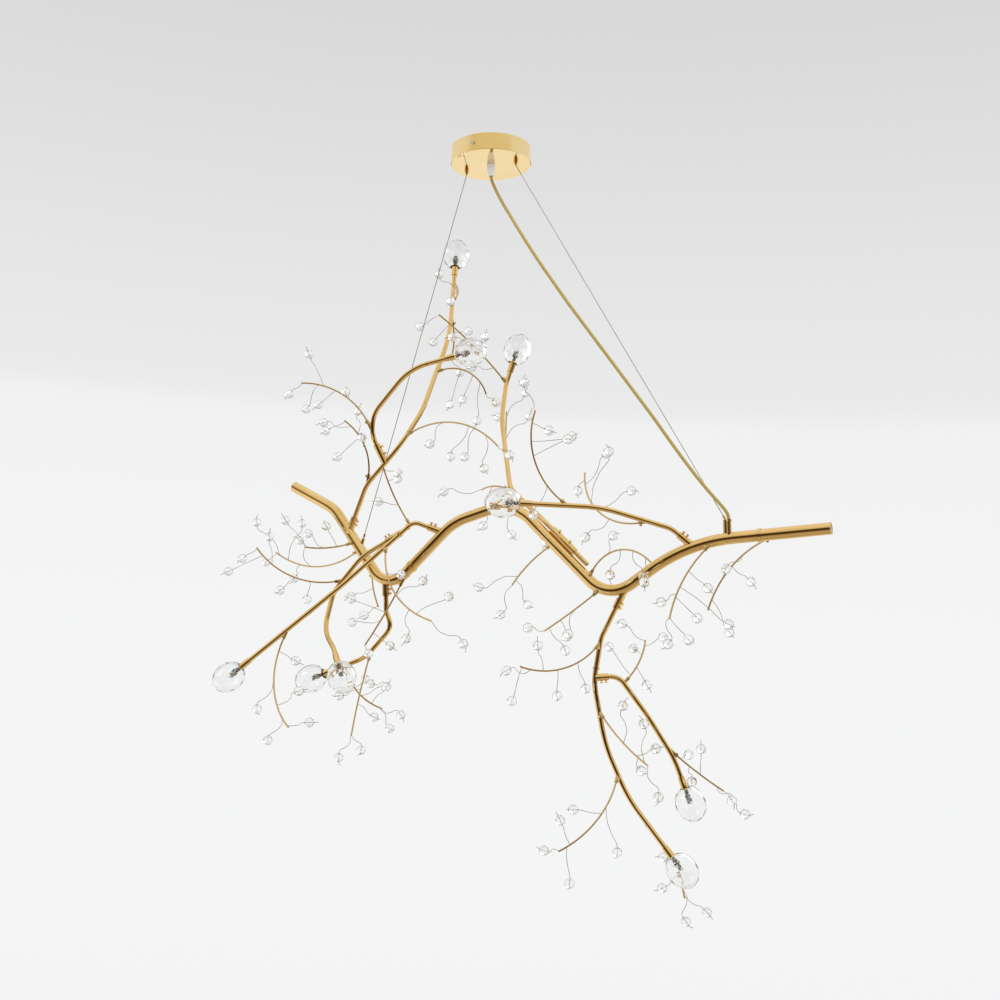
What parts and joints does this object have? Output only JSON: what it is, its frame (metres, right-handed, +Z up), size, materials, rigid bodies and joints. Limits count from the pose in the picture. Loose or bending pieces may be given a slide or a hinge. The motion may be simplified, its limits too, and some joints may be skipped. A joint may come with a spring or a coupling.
{
  "type": "branch chandelier",
  "caption": "Branch chandelier: bent gold trunk on steel cables, swivelling lamp arms with glass globes, and twigs hung with crystal beads.",
  "frame": {"origin": "centre of the canopy's ceiling face, where the bracket meets the ceiling", "axes": "+Z up to the ceiling, +X along the trunk to its long right end, +Y away from the viewer of the front"},
  "size_m": [0.96, 0.2862, 1.1241],
  "materials": {
    "gold": "polished gold plate",
    "steel": "bright",
    "chrome_screw": "polished",
    "driver_case": "matt",
    "white_nylon": "translucent satin",
    "gold_cord": "gold-coloured satin sheath",
    "bead_glass": "faceted clear crystal on gold wire",
    "lamp_glass": "dimpled clear glass",
    "bulb": "warm white capsule in a white ceramic holder"
  },
  "bodies": {
    "canopy": {"canopy_shell": "gold", "ceiling_bracket": "steel", "canopy_screws": "chrome_screw", "lamp_driver": "driver_case", "cord_grip": "white_nylon", "cable_grippers": "gold"},
    "branch": {"left_cable": "steel", "right_cable": "steel", "power_cord": "gold_cord", "cable_anchors": "gold", "trunk_tube": "gold", "trunk_end_plugs": "gold", "trunk_sleeves": "gold", "trunk_twigs": "gold", "trunk_beads": "bead_glass"},
    "arm_a": {"arm_a_tube": "gold", "arm_a_lamp": "bulb", "arm_a_glass": "lamp_glass", "arm_a_twigs": "gold", "arm_a_beads": "bead_glass"},
    "arm_b": {"arm_b_tube": "gold", "arm_b_lamp": "bulb", "arm_b_glass": "lamp_glass", "arm_b_twigs": "gold", "arm_b_beads": "bead_glass"},
    "arm_c": {"arm_c_tube": "gold", "arm_c_lamp": "bulb", "arm_c_glass": "lamp_glass", "arm_c_twigs": "gold", "arm_c_beads": "bead_glass"},
    "arm_d": {"arm_d_tube": "gold", "arm_d_lamp": "bulb", "arm_d_glass": "lamp_glass", "arm_d_twigs": "gold", "arm_d_beads": "bead_glass"},
    "arm_e": {"arm_e_tube": "gold", "arm_e_lamp": "bulb", "arm_e_glass": "lamp_glass", "arm_e_twigs": "gold", "arm_e_beads": "bead_glass"},
    "arm_f": {"arm_f_tube": "gold", "arm_f_lamp": "bulb", "arm_f_glass": "lamp_glass", "arm_f_twigs": "gold", "arm_f_beads": "bead_glass"},
    "arm_g": {"arm_g_tube": "gold", "arm_g_lamp": "bulb", "arm_g_glass": "lamp_glass", "arm_g_twigs": "gold", "arm_g_beads": "bead_glass"},
    "arm_h": {"arm_h_tube": "gold", "arm_h_lamp": "bulb", "arm_h_glass": "lamp_glass", "arm_h_twigs": "gold", "arm_h_beads": "bead_glass"},
    "arm_i": {"arm_i_tube": "gold", "arm_i_lamp": "bulb", "arm_i_glass": "lamp_glass", "arm_i_twigs": "gold", "arm_i_beads": "bead_glass"}
  },
  "joints": [
    {"name": "swing", "type": "hinge", "parent": "canopy", "child": "branch", "pos_m": [0, 0, -0.033], "axis": [1, 0, 0], "range_deg": [-5, 5]},
    {"name": "turn_a", "type": "hinge", "parent": "branch", "child": "arm_a", "pos_m": [-0.23817, 0, -0.56671], "axis": [0.4842, -0.1911, 0.8538], "range_deg": [-5, 5]},
    {"name": "turn_b", "type": "hinge", "parent": "arm_a", "child": "arm_b", "pos_m": [-0.16801, -0.015, -0.46862], "axis": [-0.3698, -0.2219, 0.9022], "range_deg": [-15, 8]},
    {"name": "turn_c", "type": "hinge", "parent": "branch", "child": "arm_c", "pos_m": [0.14885, 0, -0.63355], "axis": [-0.7071, 0, 0.7071], "range_deg": [-5, 5]},
    {"name": "turn_d", "type": "hinge", "parent": "branch", "child": "arm_d", "pos_m": [0.30166, 0, -0.61665], "axis": [-0.6976, -0.31, 0.6459], "range_deg": [-30, 12]},
    {"name": "turn_e", "type": "hinge", "parent": "branch", "child": "arm_e", "pos_m": [-0.07651, 0, -0.57671], "axis": [-0.8359, -0.4286, 0.3429], "range_deg": [-2, 10]},
    {"name": "turn_f", "type": "hinge", "parent": "arm_e", "child": "arm_f", "pos_m": [-0.13263, -0.02759, -0.57748], "axis": [-0.9129, 0.0671, -0.4027], "range_deg": [-2, 10]},
    {"name": "turn_g", "type": "hinge", "parent": "branch", "child": "arm_g", "pos_m": [-0.17328, 0, -0.6421], "axis": [0, 0.0434, -0.9991], "range_deg": [-8, 30]},
    {"name": "turn_h", "type": "hinge", "parent": "branch", "child": "arm_h", "pos_m": [0.20541, 0, -0.66682], "axis": [-0.5131, 0.1126, -0.8509], "range_deg": [-30, 30]},
    {"name": "turn_i", "type": "hinge", "parent": "arm_h", "child": "arm_i", "pos_m": [0.15234, 0.01523, -0.78835], "axis": [0.8397, 0.5398, 0.06], "range_deg": [-30, 30]}
  ]
}
